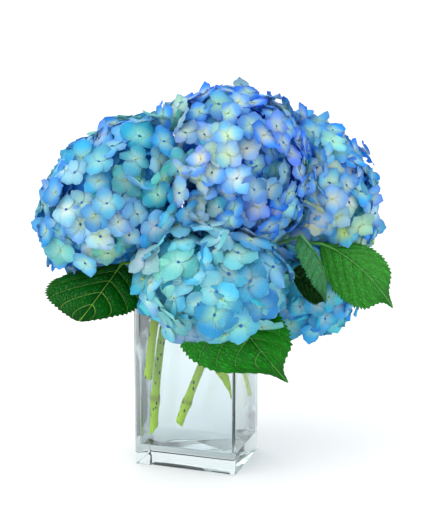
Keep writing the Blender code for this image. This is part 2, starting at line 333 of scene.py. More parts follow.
# each stem's path in millimetres from its cut end to its fork, the share of it where the node
# swells, the direction its cut faces, and how far the bark above the node turns towards olive
STEMS = {
    "left": dict(node=0.16, cut=(-1, 0.3, -0.9), green=0.25, path=(
        (39, 21, 60), (18, 14, 98), (-6, 7, 138), (-29, 0, 178), (-42, -12, 212), (-54, -22, 238))),
    "top": dict(node=0.17, cut=(1, 0, -0.8), green=0.7, path=(
        (-39.6, -5, 22), (-36.5, -8, 66), (-28, -12, 126), (-15, -9, 178), (5, -3, 222),
        (26, 8, 266))),
    "right": dict(node=0.15, cut=(-0.9, 0, -0.9), green=0.35, path=(
        (-11, -20, 38), (1, -18, 71), (16, -13, 112), (37, 5, 176), (62, 34, 214), (84, 64, 242))),
    "front": dict(node=0.4, cut=(-0.4, 0, -1), green=0.5, path=(
        (-40.6, -23, 80), (-34, -21, 134), (-25, -19, 172), (-13, -21, 192), (6, -30, 202),
        (24, -42, 201))),
    "back": dict(node=0.3, cut=(0.5, 0, -1), green=0.4, path=(
        (27, 22, 106), (29, 22, 140), (33, 25, 176), (44, 39, 197), (62, 59, 190), (79, 80, 170))),
}
STEM_RADIUS = 4.2 * MM
FORK_RADIUS = 3.2 * MM
NODE_SWELL = 1.2 * MM
NODE_REACH = 0.03
CUT_REACH = 0.2
STALK_RADIUS = 1.5 * MM
STALKS = 6
STALK_LENGTH = 34 * MM
STALK_LEAN = math.radians(41.6)
STALK_ROWS = 7
STALK_SIDES = 8
STEM_ROWS = 97
STEM_SIDES = 20
LOW_BARK = (0.66, 1.0, 0.0, 1)
BARK_MOTTLE = (0.82, 0.88, 0.62, 1)
FLECK_COLOUR = (0.025, 0.022, 0.008, 1)
SCAR_COLOUR = (0.13, 0.055, 0.018, 1)


def smooth_path(points, rows):
    """Evenly numbered points of a Catmull-Rom curve: on each span between b and c it is half of
    2b + (c - a)t + (2a - 5b + 4c - d)t^2 + (3b - a - 3c + d)t^3."""
    pts = np.array(points, float)
    padded = np.vstack([2 * pts[0] - pts[1], pts, 2 * pts[-1] - pts[-2]])
    where = np.linspace(0, len(pts) - 1, rows)
    span = np.minimum(where.astype(int), len(pts) - 2)
    t = (where - span)[:, None]
    a, b, c, d = (padded[span + k] for k in range(4))
    return 0.5 * (2 * b + (c - a) * t + (2 * a - 5 * b + 4 * c - d) * t ** 2
                  + (3 * b - a - 3 * c + d) * t ** 3)


def unit(vectors):
    return vectors / np.linalg.norm(vectors, axis=-1, keepdims=True)


def ring_on(side, over, count):
    """For each pair of crossed directions, the sums cos a of one and sin a of the other at count
    even angles a, shaped (pair, angle, 3)."""
    angle = np.linspace(0, 2 * math.pi, count, endpoint=False)[None, :, None]
    return np.cos(angle) * side[:, None] + np.sin(angle) * over[:, None]


def swept_tube(path, radii, sides):
    """Points of a tube: each path point plus its radius times a ring on two directions square to
    the path, kept from twisting by taking both from one fixed direction."""
    run = unit(np.gradient(path, axis=0))
    side = unit(np.cross(run, [0.31, -0.87, 0.12]))
    ring = ring_on(side, np.cross(run, side), sides)
    return path[:, None] + ring * np.asarray(radii)[:, None, None]


def capped_tube(path, radii, sides, first=0):
    """The tube's points and faces with both ends closed, its points numbered from first."""
    points = swept_tube(path, radii, sides).reshape(-1, 3)
    faces = grid_faces(len(path), sides, True)[:, ::-1].tolist()
    faces.append(list(range(sides)))
    faces.append(list(range(len(points) - 1, len(points) - sides - 1, -1)))
    return points, [[first + corner for corner in face] for face in faces]


def set_uv(obj, values):
    """Writes one (u, v) pair per mesh point into the object's UV map, corner by corner."""
    mesh = obj.data
    layer = mesh.uv_layers.new(name="surface")
    corner = np.empty(len(mesh.loops), np.int32)
    mesh.loops.foreach_get("vertex_index", corner)
    layer.data.foreach_set("uv", np.asarray(values, np.float32)[corner].ravel())


def set_colours(obj, name, colours):
    """Writes one colour per mesh point into a colour attribute of the object."""
    layer = obj.data.color_attributes.new(name, "FLOAT_COLOR", "POINT")
    values = np.column_stack([colours, np.ones(len(colours))]).astype(np.float32)
    layer.data.foreach_set("color", values.ravel())


def stem_bark(name, green, node_at):
    """Lime bark that turns duller above the node, flecked with dark brown lenticels, with a brown
    scar ring at the node. UV u runs up the stem and v round it."""
    bark = Paint(name)
    _, up_stem, _ = bark.surface()
    patch = bark.noise(60.0, 3.0)
    high_bark = (0.60 - 0.20 * green, 0.92 - 0.2 * green, 0.02, 1)
    colour = bark.blend(bark.ramp(up_stem, node_at - 0.05, node_at + 0.12, 0.0, 1.0),
                        LOW_BARK, high_bark)
    colour = bark.blend(patch, colour, BARK_MOTTLE, "MULTIPLY")
    drawn_up = bark.node("Mapping", Vector=bark.place, Scale=(1.0, 1.0, 0.45)).outputs[0]
    cells = bark.node("TexVoronoi", Vector=drawn_up, Scale=320.0, Randomness=1.0)
    chance = bark.node("SeparateColor", cells.outputs["Color"]).outputs[0]
    flecks = bark.calc("MULTIPLY", bark.calc("LESS_THAN", cells.outputs["Distance"], 0.30),
                       bark.calc("GREATER_THAN", chance, 0.50))
    colour = bark.blend(flecks, colour, FLECK_COLOUR)
    from_scar = bark.calc("ABSOLUTE", bark.calc("SUBTRACT", up_stem, node_at + 0.012))
    scar = bark.calc("MULTIPLY", bark.ramp(from_scar, 0.004, 0.022, 0.85, 0.0), patch)
    colour = bark.blend(scar, colour, SCAR_COLOUR)
    relief = bark.node("Bump", Strength=0.35, Distance=0.0006, Height=patch)
    bark.show(bark.node("BsdfPrincipled", Base_Color=colour, Roughness=0.42,
                        Specular_IOR_Level=0.15, Normal=relief.outputs[0]))
    return bark.material


for key, spec in STEMS.items():
    path = smooth_path(spec["path"], STEM_ROWS) * MM
    along = np.linspace(0, 1, STEM_ROWS)
    radii = STEM_RADIUS + (FORK_RADIUS - STEM_RADIUS) * along
    radii = radii + NODE_SWELL * np.exp(-((along - spec["node"]) / NODE_REACH) ** 2)
    points, faces = capped_tube(path, radii, STEM_SIDES)
    # the cut: points past a slanting plane are pulled back to it along the stem
    slant = unit(np.array(spec["cut"], float))
    run = unit(path[1] - path[0])
    beyond = np.maximum((points - (path[0] + run * STEM_RADIUS)) @ slant, 0.0)
    near_cut = np.repeat(along, STEM_SIDES) < CUT_REACH
    points = points - np.where(near_cut, beyond, 0.0)[:, None] * run / (run @ slant)
    round_stem = np.tile(np.arange(STEM_SIDES) / STEM_SIDES, STEM_ROWS)
    uv = np.column_stack([np.repeat(along, STEM_SIDES), round_stem])
    # the fork: short stalks spread evenly round the stem's end
    fork, inward = path[-1], unit(path[-1] - path[-2])
    side = unit(np.cross(inward, [0.3, 0.1, 0.9]))
    over = np.cross(inward, side)
    steps = np.linspace(-0.04, 1, STALK_ROWS)[:, None]
    stalk_radii = np.linspace(STALK_RADIUS, 0.8 * STALK_RADIUS, STALK_ROWS)
    for number in range(STALKS):
        around = 2 * math.pi * number / STALKS
        out = side * math.cos(around) + over * math.sin(around)
        way = inward * math.cos(STALK_LEAN) + out * math.sin(STALK_LEAN)
        more_points, more_faces = capped_tube(fork + STALK_LENGTH * steps * way, stalk_radii,
                                              STALK_SIDES, len(points))
        points = np.concatenate([points, more_points])
        faces += more_faces
        uv = np.concatenate([uv, np.full((len(more_points), 2), 0.95)])
    bark = stem_bark("bark_" + key, spec["green"], spec["node"])
    stem = mesh_object("stem_cut_" + key, points, faces, bark)
    set_uv(stem, uv)
    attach(stem, "root")
    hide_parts("stem_" + key)


# ---------------------------------------------------------------------------------------------
# The flower heads: five mopheads, each a dome of some hundred florets. A floret is four broad
# papery sepals in two crossed pairs round a bead-like bud, on a thin stalk from the forked stem.
# ---------------------------------------------------------------------------------------------

SEPAL_STEPS = np.array([0.0, 0.22, 0.56, 0.86, 1.0])
SEPAL_COLUMNS = 5
CORE_SHARE = 0.82
UNDER_SHARE = 0.86
OUTER_TINT = (0.70, 0.96, 1.0)
# painted shade: the under layer of florets, deep inside the head, is darkened and turned blue-green
UNDER_PAINTED_SHADE = (0.34, 0.90, 0.94)
PROUD = 12 * MM
SEAM_FILL = 15 * MM
SEAM_REACH = 34 * MM
# painted shade down a sepal's sides where its neighbour overlaps it, and a painted highlight on its
# tip
EDGE_SHADE = 0.24
RIM_LIGHT = 0.12
TONE_SHARE = 0.55
PALE_FROM = 170
DROOP = 0.45
TURNED_SINK = 0.38
UNDER_TILT = 0.40
UNDER_BURY = -12
SEED_STEP = 5
DROP_SPREAD = 2.0
NUDGE = 0.672
BUD_SIDES = 6
BUD_SHARE = 0.042
BLUE_BUD = (60, 120, 200)
CREAM_BUD = (190, 210, 150)
CORE_ROWS = 24
CORE_COLUMNS = 36
FAR_OUT = 0.3
LEAF_GAPS = (((-54, -68, 190), 37), ((-34, -94, 162), 18))


def linear(colour):
    """Display colour parts out of 255 as linear light: ((c + 0.055) / 1.055)^2.4, or c / 12.92
    when low."""
    c = np.asarray(colour, float) / 255.0
    return np.where(c <= 0.04045, c / 12.92, ((c + 0.055) / 1.055) ** 2.4)


# In millimetres: a head's centre, its half sizes, its lean in degrees about the front-to-back
# axis, how many florets it has and how wide they are, and drop, how far off the dome they sit.
# Colours are display parts out of 255: rim, middle and heart of a sepal, tones that single
# florets lean to, an odd one that few turn to, and patches of (place, size, middle, heart).
# What USUAL_HEAD holds: how far up a sepal the heart colour reaches, how much florets tilt, how
# steeply sepals rise, and how deep inside another head a floret may still sit.
USUAL_HEAD = dict(reach=0.5, tilt=0.28, rise=0.20, bury=-11)
HEADS = {
    "left": dict(centre=(-63, -35, 257), size=(91, 79, 67), lean=45,
                 florets=174, wide=30, seed=11, drop=-1.2,
                 tones=((176, 212, 240), (84, 190, 204), (30, 116, 226), (206, 236, 204)),
                 rim=(12, 124, 224), middle=(48, 164, 236), heart=(184, 228, 224),
                 odd=(160, 218, 160),
                 patches=(((-62, -108, 230), 36, (220, 246, 234), (250, 252, 190)),
                          ((-40, -104, 274), 26, (80, 176, 240), (206, 236, 232)),
                          ((4, -74, 262), 38, (120, 232, 250), (230, 252, 226)))),
    "top": dict(centre=(35, 3, 288), size=(72, 74, 78), lean=10,
                florets=200, wide=27, seed=23, drop=-1.2,
                tones=((180, 204, 250), (40, 110, 246), (222, 240, 206), (70, 160, 240)),
                reach=0.62, rim=(4, 108, 244), middle=(44, 150, 248),
                heart=(214, 238, 220), odd=(212, 234, 130),
                patches=(((26, -68, 300), 34, (186, 222, 228), (252, 254, 196)),
                         ((48, -56, 336), 24, (96, 186, 236), (230, 244, 170)),
                         ((66, -50, 246), 30, (76, 158, 255), (226, 244, 246)),
                         ((-28, -44, 304), 28, (104, 190, 246), (226, 244, 232)),
                         ((20, -62, 258), 26, (110, 192, 255), (232, 250, 244)))),
    "right": dict(centre=(96, 78, 257), size=(61, 62, 80), lean=25,
                  florets=140, wide=29, seed=37, drop=-2.6,
                  tones=((190, 212, 250), (30, 116, 240), (226, 244, 200), (96, 190, 232)),
                  reach=0.58, rim=(10, 130, 246), middle=(64, 178, 252),
                  heart=(228, 248, 230), odd=(222, 240, 110),
                  patches=(((96, 24, 258), 40, (214, 246, 232), (253, 255, 206)),
                           ((128, 40, 214), 22, (96, 180, 226), (234, 248, 70)))),
    "front": dict(centre=(28, -56, 187), size=(87, 58, 56), lean=0,
                  florets=104, wide=38, seed=53, drop=-3.5,
                  tones=((186, 210, 242), (98, 192, 208), (60, 134, 222), (196, 228, 206)),
                  bury=-9, tilt=0.20, rise=0.10,
                  rim=(64, 164, 212), middle=(112, 190, 222), heart=(196, 232, 220),
                  odd=(170, 222, 186),
                  patches=(((50, -108, 208), 34, (124, 196, 234), (208, 238, 232)),
                           ((39, -103, 166), 34, (84, 168, 194), (160, 216, 208)),
                           ((96, -84, 186), 28, (56, 150, 198), (124, 200, 204)),
                           ((20, -92, 230), 30, (122, 220, 250), (216, 246, 240)),
                           ((-40, -84, 190), 38, (176, 236, 244), (232, 250, 230)))),
    "back": dict(centre=(87, 94, 153), size=(50, 48, 48), lean=0,
                 florets=74, wide=31, seed=71, drop=-1.0,
                 tones=((170, 210, 246), (80, 176, 220), (40, 120, 230), (150, 214, 220)),
                 rim=(56, 164, 236), middle=(116, 214, 244), heart=(200, 244, 236),
                 odd=(124, 224, 220),
                 patches=()),
}


def head_frame(key):
    """A head's centre and the matrix that turns a direction into shares of its half sizes."""
    spec = HEADS[key]
    lean = math.radians(spec["lean"])
    flat, up = math.cos(lean), math.sin(lean)
    axes = np.array([(flat, 0, up), (0, 1, 0), (-up, 0, flat)])
    return np.array(spec["centre"], float) * MM, axes.T / (np.array(spec["size"], float) * MM)


def spread_ways(count, seed):
    """Directions all round a ball: the golden-angle spiral, its heights even and its angles apart
    by 137.5 degrees, with every direction nudged at random by about a fifth of the spacing."""
    chance = np.random.default_rng(seed)
    share = (np.arange(count) + 0.5) / count
    around = math.pi * (3 - math.sqrt(5)) * np.arange(count)
    height = 1 - 2 * share
    level = np.sqrt(1 - height ** 2)
    ways = np.stack([level * np.cos(around), level * np.sin(around), height], axis=1)
    return unit(ways + chance.normal(0, NUDGE / math.sqrt(count), (count, 3)))


def solid_tree(key):
    """A search tree over the flower head's solid, for finding its outside along a direction."""
    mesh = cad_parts["head_" + key].data
    corners = [vert.co for vert in mesh.vertices]
    return BVHTree.FromPolygons(corners, [face.vertices for face in mesh.polygons])


trees = {key: solid_tree(key) for key in HEADS}


def outside(key, ways):
    """Distance from the head's centre to its outermost surface along each direction."""
    centre = head_frame(key)[0]
    far = np.empty(len(ways))
    for number, way in enumerate(ways):
        hit = trees[key].ray_cast(Vector(centre + way * FAR_OUT), Vector(-way))
        far[number] = FAR_OUT - hit[3] if hit[0] is not None else 0.0
    return far


def gap_to(other, spots):
    """Distance from spots to another head, (|q| - 1) / |slope of |q||, where q is the place in
    shares of its half sizes, together with that slope; it is negative inside the head."""
    centre, shares = head_frame(other)
    q = (spots - centre) @ shares
    size = np.linalg.norm(q, axis=1, keepdims=True)
    slope = (q / size) @ shares.T
    steep = np.linalg.norm(slope, axis=1, keepdims=True)
    return (size - 1) / steep, slope / steep


def room_left(key, spots):
    """The smallest gap from each spot to any other head."""
    return np.min([gap_to(other, spots)[0][:, 0] for other in HEADS if other != key], axis=0)


def fill_seams(key, spots, normals):
    """Moves spots near another head out into the groove between the two, as crowding florets do:
    along the sum of both surface normals, by SEAM_FILL (1 - gap / SEAM_REACH)^2."""
    push = np.zeros_like(spots)
    for other in HEADS:
        if other == key:
            continue
        gap, away = gap_to(other, spots)
        gap = np.maximum(gap, 0)
        lean = normals + away
        lean = lean / np.maximum(np.linalg.norm(lean, axis=1, keepdims=True), 0.6)
        push = push + lean * SEAM_FILL * np.clip(1 - gap / SEAM_REACH, 0, 1) ** 2
    return spots + push


def parted(spots):
    """True for spots outside every ball in LEAF_GAPS, where a leaf pushes the florets apart."""
    return np.all([np.linalg.norm(spots / MM - np.array(place), axis=1) > size
                   for place, size in LEAF_GAPS], axis=0)


def clear_of_glass(points, margin=1.2 * MM):
    """Moves points that lie in the vase's block out of it: up when they are near its rim,
    otherwise straight out through the nearest wall."""
    x, y, z = (points[..., axis] for axis in range(3))
    depths = np.stack([half_x + margin - np.abs(x), half_y + margin - np.abs(y),
                       VASE_HEIGHT + margin - z])
    inside, nearest = (depths > 0).all(axis=0), np.argmin(depths, axis=0)
    moved = points.copy()
    for axis, way in enumerate((np.sign(x), np.sign(y), 1)):
        moved[..., axis] += np.where(inside & (nearest == axis), way * depths[axis], 0)
    return moved


def florets(centres, outward, wide, rise, chance):
    """Points of many florets at once, shaped (floret, sepal, row, column, 3).

    Up a sepal u runs 0 to 1 and across it v runs -1 to 1. The distance out is L(0.05 + 0.95u)
    (1 - 0.08 u^2 v^2), the place across is v W sqrt(1 - (2w - 1)^2) with w = 0.04 + 0.94u, a near
    circle, and the height is L(rise u + curl u^2 + cup u v^2) with a small ripple near the edge.
    """
    count = len(centres)
    each = (count, 4, 1, 1)
    u, v = SEPAL_STEPS[:, None], np.linspace(-1, 1, SEPAL_COLUMNS)[None, :]
    length = (0.5 * wide * chance.normal(1.0, 0.07, (count, 1, 1, 1))
              * chance.normal(1.0, 0.06, each))
    width = length * chance.uniform(0.47, 0.57, each)
    rise = chance.normal(rise, 0.12, each)
    curl = chance.normal(-0.17, 0.14, each)
    cup = chance.normal(-0.10, 0.09, each)
    wave = chance.uniform(0, 2 * math.pi, each)
    skew = chance.normal(0, 0.06, each)
    lift = np.array([0.0, 0.9, 0.0, 0.9])[None, :, None, None] * MM
    out = length * (0.05 + 0.95 * u) * (1 - 0.08 * u ** 2 * v ** 2)
    rounded = np.sqrt(1 - (2 * (0.04 + 0.94 * u) - 1) ** 2)
    across = v * width * rounded + skew * length * u ** 2
    height = lift + length * (rise * u + curl * u ** 2 + cup * u * v ** 2
                              + 0.035 * u * np.sin(3.1 * v + wave))
    turn = chance.uniform(0, math.pi / 2, (count, 1)) + np.arange(4) * math.pi / 2
    turn = turn + chance.normal(0, 0.07, (count, 4))
    side = unit(np.cross(outward, unit(chance.normal(0, 1, (count, 3)))))
    over = np.cross(outward, side)
    ahead = np.cos(turn)[..., None] * side[:, None] + np.sin(turn)[..., None] * over[:, None]
    beside = np.cos(turn)[..., None] * over[:, None] - np.sin(turn)[..., None] * side[:, None]
    return (centres[:, None, None, None] + out[..., None] * ahead[:, :, None, None]
            + across[..., None] * beside[:, :, None, None]
            + height[..., None] * outward[:, None, None, None])


def bud_points(centres, outward, size, chance):
    """Points of the bead at the middle of each floret: two rings and a crown."""
    side = unit(np.cross(outward, [0.2, 0.5, 0.84]))
    ring = ring_on(side, np.cross(outward, side), BUD_SIDES)
    scale = (size * chance.uniform(0.8, 1.25, len(centres)))[:, None, None]
    middle, up = centres[:, None], outward[:, None]
    return np.concatenate([middle + scale * (ring * 0.75 - up * 0.1),
                           middle + scale * (ring * 0.85 + up * 0.7),
                           middle + scale * up * 1.35], axis=1)


SEPAL_VEINS = 9.0
VEIN_SHADE = (0.50, 0.68, 0.90, 1)
WASH_SHADE = (0.74, 0.86, 0.97, 1)


def sepal_paint(name):
    """Papery petal finish: the painted colour with darker veins running up the sepal (UV u is the
    distance along it, v the place across), a dry sheen and a little light through it."""
    petal = Paint(name)
    colour = petal.node("VertexColor", layer_name="paint").outputs["Color"]
    _, along, across = petal.surface()
    push = petal.ramp(petal.noise(220.0, 2.0), 0.3, 0.7, -0.05, 0.05)
    wave = petal.calc("COSINE", petal.calc("MULTIPLY", petal.calc("ADD", across, push),
                                           SEPAL_VEINS * 2 * math.pi))
    veins = petal.calc("MULTIPLY", petal.ramp(wave, 0.55, 1.0, 0.0, 1.0),
                       petal.ramp(along, 0.0, 1.0, 0.42, 0.10))
    colour = petal.blend(veins, colour, VEIN_SHADE, "MULTIPLY")
    cloud = petal.noise(95.0, 3.0, Roughness=0.6)
    colour = petal.blend(petal.ramp(cloud, 0.35, 0.7, 0.0, 0.4), colour, WASH_SHADE, "MULTIPLY")
    relief = petal.node("Bump", Strength=0.5, Distance=0.0004, Height=wave)
    crease = petal.node("Bump", Strength=0.4, Distance=0.0010, Height=cloud,
                        Normal=relief.outputs[0])
    papery = petal.node("BsdfPrincipled", Base_Color=colour, Roughness=0.62,
                        Specular_IOR_Level=0.12, Sheen_Weight=0.03, Sheen_Roughness=0.5,
                        Normal=crease.outputs[0])
    petal.show_thin(papery, 0.28, colour)
    return petal.material


def toward(colour, other, share):
    """The colour this share of the way to the other."""
    return colour * (1 - share) + other * share


def floret_object(name, places, buds, rim, middle, heart, reach, bud_colour, material):
    """One object of all the florets of a head, painted point by point: the heart colour at a
    sepal's base blends to the middle colour by u = reach, then to the rim colour, with painted
    shade down both sides where the sepals overlap and a painted highlight at the tip."""
    count, sepals, rows, columns, _ = places.shape
    bud_count = buds.shape[1]
    u, v = SEPAL_STEPS[:, None], np.linspace(-1, 1, columns)[None, :]
    inner_share = (np.clip(1 - u / reach, 0, 1) ** 1.1 * np.ones_like(v))[..., None]
    rim_share = np.maximum((u - 0.55) / 0.45, np.abs(v) ** 3 * u * 1.3).clip(0, 1)[..., None]
    # painted shade down both sides of each sepal
    painted_edge_shade = (1 - EDGE_SHADE * np.abs(v) ** 4 * np.clip(1.25 - u, 0, 1))[..., None]
    # painted highlight at each sepal's tip
    painted_rim_light = (RIM_LIGHT * np.clip((u - 0.86) / 0.14, 0, 1) * np.ones_like(v))[..., None]
    colour = toward(middle[:, :, None, None], rim[:, :, None, None], rim_share)
    colour = toward(colour, heart[:, None, None, None], inner_share)
    colour = colour * painted_edge_shade * (1 - painted_rim_light) + painted_rim_light
    points = np.concatenate([places.reshape(-1, 3), buds.reshape(-1, 3)])
    colours = np.concatenate([colour.reshape(-1, 3), np.repeat(bud_colour, bud_count, axis=0)])
    each = rows * columns
    quads = grid_faces(rows, columns, False)[:, ::-1]
    faces = (quads[None] + (np.arange(count * sepals) * each)[:, None, None]).reshape(-1, 4)
    k = np.arange(BUD_SIDES)
    n = (k + 1) % BUD_SIDES
    bud_quads = np.stack([k, n, BUD_SIDES + n, BUD_SIDES + k], axis=1)
    bud_caps = np.stack([BUD_SIDES + k, BUD_SIDES + n, np.full(BUD_SIDES, 2 * BUD_SIDES)], axis=1)
    steps = (count * sepals * each + np.arange(count) * bud_count)[:, None, None]
    face_list = faces.tolist() + (bud_quads[None] + steps).reshape(-1, 4).tolist()
    face_list += (bud_caps[None] + steps).reshape(-1, 3).tolist()
    made = mesh_object(name, points, face_list, material)
    uv_sepal = np.stack([u * np.ones_like(v), (v * 0.5 + 0.5) * np.ones_like(u)], axis=-1)
    set_uv(made, np.concatenate([np.tile(uv_sepal.reshape(-1, 2), (count * sepals, 1)),
                                 np.full((count * bud_count, 2), 0.5)]))
    set_colours(made, "paint", colours)
    return made


for key, own in HEADS.items():
    spec = {**USUAL_HEAD, **own}
    chance = np.random.default_rng(spec["seed"])
    centre, shares = head_frame(key)
    wide = spec["wide"] * MM
    parts = []
    for on_top, share, count, tilt, bury in (
            (True, 1.0, spec["florets"], spec["tilt"], spec["bury"]),
            (False, UNDER_SHARE, spec["florets"] * 2 // 3, UNDER_TILT, UNDER_BURY)):
        ways = spread_ways(count, spec["seed"] + SEED_STEP)
        far = np.minimum(outside(key, ways) + PROUD, 1.0 / np.linalg.norm(ways @ shares, axis=-1))
        spots = centre + ways * (far * share)[:, None]
        normals = unit((ways @ shares) @ shares.T)
        outlook = normals - np.minimum(normals[:, 2:], 0) * np.array([0, 0, DROOP])
        facing = unit(outlook + chance.normal(0, tilt, normals.shape))
        drop = chance.normal(spec["drop"], DROP_SPREAD, (count, 1)) * MM if on_top else 0.0
        turned = np.linalg.norm(np.cross(normals, facing), axis=1, keepdims=True)
        drop = drop - TURNED_SINK * wide * turned
        free = room_left(key, spots) > bury * MM
        spots = fill_seams(key, spots + normals * drop, normals)
        free = free & parted(spots)
        parts.append((spots[free], facing[free], np.full(free.sum(), on_top)))
    spots, facing, top_layer = (np.concatenate(items) for items in zip(*parts))
    count = len(spots)
    places = florets(spots, facing, wide, spec["rise"], chance)
    buds = bud_points(spots + facing * 0.5 * MM, facing, BUD_SHARE * wide, chance)
    places, buds = clear_of_glass(places), clear_of_glass(buds)
    shade = chance.normal(1.0, 0.09, (count, 1, 1)) * chance.normal(1.0, 0.10, (count, 4, 1))
    shade = shade * (1 + chance.normal(0, 1, (count, 1, 3)) * np.array([0.10, 0.07, 0.03]))
    shade = shade * (1 + chance.normal(0, 1, (count, 4, 3)) * np.array([0.10, 0.05, 0.02]))
    # the top layer keeps its own deeper colour, the under layer gets painted shade
    own_tint_and_under_shade = np.where(top_layer[:, None], OUTER_TINT, UNDER_PAINTED_SHADE)
    warm = chance.uniform(0, 1, (count, 1)) ** 4
    rim, middle, heart = (np.tile(linear(spec[part]), (count, 1))
                          for part in ("rim", "middle", "heart"))
    pale = np.zeros((count, 1))
    for place, size, patch_middle, patch_heart in spec["patches"]:
        away = np.linalg.norm(spots / MM - np.array(place), axis=1)
        near = np.exp(-(away / size) ** 2)[:, None] * chance.uniform(0.6, 1.0, (count, 1))
        middle = toward(middle, linear(patch_middle), near)
        heart = toward(heart, linear(patch_heart), near)
        rim = toward(rim, linear(patch_middle), 0.4 * near)
        pale = np.maximum(pale, near * (min(patch_middle) > PALE_FROM))
    own_tint_and_under_shade = own_tint_and_under_shade + (1 - own_tint_and_under_shade) * pale * top_layer[:, None]
    middle = toward(middle, linear(spec["odd"]), 0.9 * warm)
    rim = toward(rim, linear(spec["odd"]), 0.7 * warm)
    tone = linear(np.array(spec["tones"]))[chance.integers(0, len(spec["tones"]), count)]
    much = chance.uniform(0.0, TONE_SHARE, (count, 1))
    middle = toward(middle, tone, much)
    rim = toward(rim, tone, 0.7 * much)
    blue = chance.uniform(0, 1, (count, 1)) < 0.5
    bud_colour = np.where(blue, linear(BLUE_BUD), linear(CREAM_BUD))
    rims, middles = (((part * own_tint_and_under_shade)[:, None] * shade).clip(0, 1) for part in (rim, middle))
    hearts = (heart * own_tint_and_under_shade ** 0.5 * shade[:, 0]).clip(0, 1)
    head = floret_object("florets_" + key, places, buds, rims, middles, hearts, spec["reach"],
                         bud_colour, sepal_paint("sepals_" + key))
    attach(head, "root")

    # painted shade: a smaller copy of the head's solid in darkened petal colours stands for the
    # shaded depths of the head, so that no light shows through
    polar = np.linspace(0.02, math.pi - 0.02, CORE_ROWS)[:, None]
    around = np.linspace(0, 2 * math.pi, CORE_COLUMNS, endpoint=False)[None, :]
    ways = np.stack([np.sin(polar) * np.cos(around), np.sin(polar) * np.sin(around),
                     np.cos(polar) * np.ones_like(around)], axis=-1).reshape(-1, 3)
    core_points = centre + ways * (outside(key, ways) * CORE_SHARE)[:, None]
    last = len(core_points) - 1
    faces = grid_faces(CORE_ROWS, CORE_COLUMNS, True)[:, ::-1].tolist()
    faces += [list(range(CORE_COLUMNS)), list(range(last, last - CORE_COLUMNS, -1))]
    shade_core_paint = Paint("shade_core_" + key)
    crowd = shade_core_paint.node("TexVoronoi", Vector=shade_core_paint.place, Scale=70.0).outputs["Distance"]
    # darkened rim and middle colours: painted shade for the head's depths
    colour = shade_core_paint.blend(crowd, (*(linear(spec["rim"]) * 0.75), 1),
                        (*(linear(spec["middle"]) * 0.9), 1))
    shade_core_paint.show(shade_core_paint.node("BsdfPrincipled", Base_Color=colour, Roughness=0.8))
    core = mesh_object("shade_core_" + key, clear_of_glass(core_points), faces, shade_core_paint.material)
    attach(core, "root")
    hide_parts("head_" + key)


# ---------------------------------------------------------------------------------------------
# The leaves: broad serrated hydrangea leaves, quilted between their sunken veins, glossy dark
# green above and paler below, each on its own short stalk tucked among the stems.
# ---------------------------------------------------------------------------------------------

# In millimetres: where a leaf's stalk starts, its blade's base, the midrib's middle and the tip,
# and the middle of each margin. draw is how far the blade narrows before its tip; green and vein
# are display colours out of 255. USUAL_LEAF: how strongly the side veins show, and their pairs.
USUAL_LEAF = dict(show=0.5, pairs=7)
LEAVES = {
    "left": dict(start=(-38, -16, 197), base=(-61, -38, 198),
                 middle=(-70, -64, 178), tip=(-78, -100, 156),
                 one=(-122, -82, 178), other=(-34, -58, 161), draw=0.1,
                 green=(4, 92, 2), vein=(150, 206, 84), show=0.6, pairs=5),
    "front": dict(start=(16, -14, 186), base=(30, -43, 181),
                  middle=(66, -50, 142), tip=(111, -74, 109),
                  one=(8, -46, 112), other=(104, -52, 158), draw=0.7,
                  green=(14, 128, 4), vein=(110, 190, 80)),
    "right": dict(start=(78, 36, 212), base=(112, 36, 214),
                  middle=(150, 36, 194), tip=(183, 34, 157),
                  one=(168, 62, 200), other=(141, 27, 157), draw=0.6,
                  green=(48, 144, 40), vein=(120, 196, 104)),
    "folded": dict(start=(76, 12, 216), base=(106, -14, 230),
                   middle=(129, -22, 202), tip=(132, -25, 171),
                   one=(113, -40, 203), other=(122, -6, 204), draw=0.4,
                   green=(50, 128, 74), vein=(110, 172, 118)),
    # painted shade: this leaf's green and veins are painted darker, for a leaf lying in shadow
    # among the heads
    "inner": dict(start=(62, 12, 190), base=(92, 6, 190),
                  middle=(112, 0, 180), tip=(128, -8, 168),
                  one=(110, 6, 196), other=(112, -4, 164), draw=0.5,
                  green=(12, 70, 14), vein=(70, 124, 50)),
    "back_left": dict(start=(-32, 12, 198), base=(-56, 30, 204),
                      middle=(-82, 52, 202), tip=(-112, 78, 186),
                      one=(-52, 82, 206), other=(-104, 22, 198), draw=0.6, green=(18, 104, 12),
                      vein=(130, 186, 96)),
    "back_right": dict(start=(10, 34, 200), base=(12, 66, 212),
                       middle=(18, 98, 206), tip=(24, 134, 184),
                       one=(-28, 98, 204), other=(58, 112, 198), draw=0.6, green=(20, 108, 14),
                       vein=(130, 186, 96)),
}
BLADE_ROWS = 145
BLADE_COLUMNS = 41
TEETH = 24
TOOTH_DEPTH = 3.2 * MM
VEIN_THINNING = 0.02
PANELS_PER_VEIN = (3.0, 15.0, 1.0)
LEAF_STALK = 1.5 * MM
STALK_JOINTS = 9
BLADE_THICKNESS = 0.35 * MM
QUILT_HEIGHT = 2.2 * MM
RIB_DEPTH = 0.8 * MM
WAVE_HEIGHT = 0.9 * MM
# painted shade laid in the grooves of the quilted panels
GROOVE_SHADE = (0.35, 0.55, 0.35, 1)


